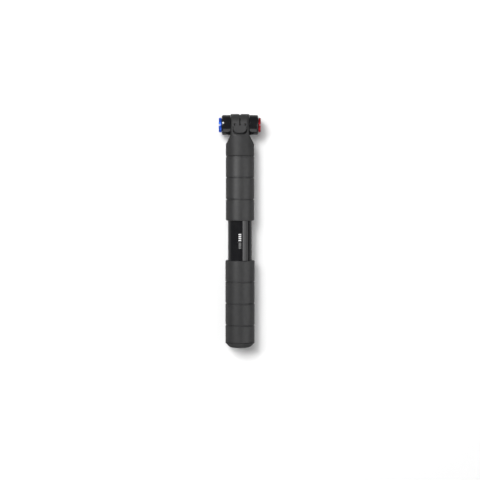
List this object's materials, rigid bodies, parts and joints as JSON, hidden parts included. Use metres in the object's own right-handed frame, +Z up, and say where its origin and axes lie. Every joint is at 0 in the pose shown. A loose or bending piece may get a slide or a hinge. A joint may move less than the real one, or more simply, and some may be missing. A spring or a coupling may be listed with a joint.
{
  "type": "mini pump",
  "caption": "Hand-held bicycle pump with telescoping barrel, ribbed rubber grips, and a lever-locked T head with one Presta and one Schrader port.",
  "frame": {"origin": "on the surface the pump lies on, below the pump's axis, halfway along it", "axes": "+Y along the pump from the flat end of the handle to the head, +X along the valve barrel from the Presta port to the Schrader port, +Z up, on the lever's side"},
  "size_m": [0.0411, 0.2298, 0.0287],
  "materials": {
    "grip_rubber": "matte, fine-textured dark grey rubber",
    "head_nylon": "satin dark grey moulded nylon",
    "gloss_black": "gloss black anodised aluminium",
    "bare_aluminium": "drawn, bare",
    "steel": "turned",
    "blue_anodised": "satin blue anodised",
    "red_anodised": "satin red anodised",
    "seal_rubber": "smooth black",
    "white_acetal": "natural acetal",
    "brass": "turned"
  },
  "bodies": {
    "pump_body": {"head_housing": "head_nylon", "grip_sleeve": "head_nylon", "upper_grip": "grip_rubber", "pump_barrel": "bare_aluminium", "barrel_seal": "seal_rubber", "barrel_guide_ring": "white_acetal", "bumper_ring": "seal_rubber", "check_valve_seat": "brass", "check_valve_spring": "steel", "valve_core_tube": "gloss_black", "presta_shell": "gloss_black", "schrader_shell": "gloss_black", "presta_grommet": "seal_rubber", "schrader_grommet": "seal_rubber"},
    "handle": {"handle_tube": "gloss_black", "handle_bush": "white_acetal", "lower_grip": "grip_rubber", "end_cap": "head_nylon", "rod_nut": "steel", "piston_rod": "steel", "piston": "white_acetal", "piston_seal": "seal_rubber", "piston_screw": "steel"},
    "lever": {"lock_lever": "head_nylon", "presta_lever_pin": "steel", "schrader_lever_pin": "steel"},
    "presta_pusher": {"presta_plunger": "brass", "presta_plunger_seal": "seal_rubber"},
    "schrader_pusher": {"schrader_plunger": "brass", "schrader_plunger_seal": "seal_rubber", "schrader_depressor": "brass"},
    "presta_ring": {"presta_collar": "blue_anodised"},
    "schrader_ring": {"schrader_collar": "red_anodised"},
    "valve_ball": {"check_valve_ball": "steel"}
  },
  "joints": [
    {"name": "handle_slide", "type": "slide", "parent": "pump_body", "child": "handle", "axis": [0, -1, 0], "range_m": [0, 0.139]},
    {"name": "lever_swing", "type": "hinge", "parent": "pump_body", "child": "lever", "pos_m": [0, 0.1041, 0.01433], "axis": [-1, 0, 0], "range_deg": [0, 95]},
    {"name": "presta_plunger_slide", "type": "slide", "parent": "pump_body", "child": "presta_pusher", "axis": [-1, 0, 0], "range_m": [0, 0.0015], "deforming": ["presta_grommet"]},
    {"name": "schrader_plunger_slide", "type": "slide", "parent": "pump_body", "child": "schrader_pusher", "axis": [1, 0, 0], "range_m": [0, 0.0015], "deforming": ["schrader_grommet"]},
    {"name": "presta_collar_turn", "type": "hinge", "parent": "pump_body", "child": "presta_ring", "pos_m": [0, 0.1041, 0.01433], "axis": [-1, 0, 0], "continuous": true},
    {"name": "schrader_collar_turn", "type": "hinge", "parent": "pump_body", "child": "schrader_ring", "pos_m": [0, 0.1041, 0.01433], "axis": [1, 0, 0], "continuous": true},
    {"name": "valve_ball_lift", "type": "slide", "parent": "pump_body", "child": "valve_ball", "axis": [0, 1, 0], "range_m": [0, 0.0012], "stiffness_N_per_m": 60, "springref_m": -0.001, "deforming": ["check_valve_spring"]}
  ],
  "couplings": [
    {"joint": "presta_plunger_slide", "follows": "lever_swing", "m_per_rad": 0.0009},
    {"joint": "schrader_plunger_slide", "follows": "lever_swing", "m_per_rad": 0.0009}
  ]
}
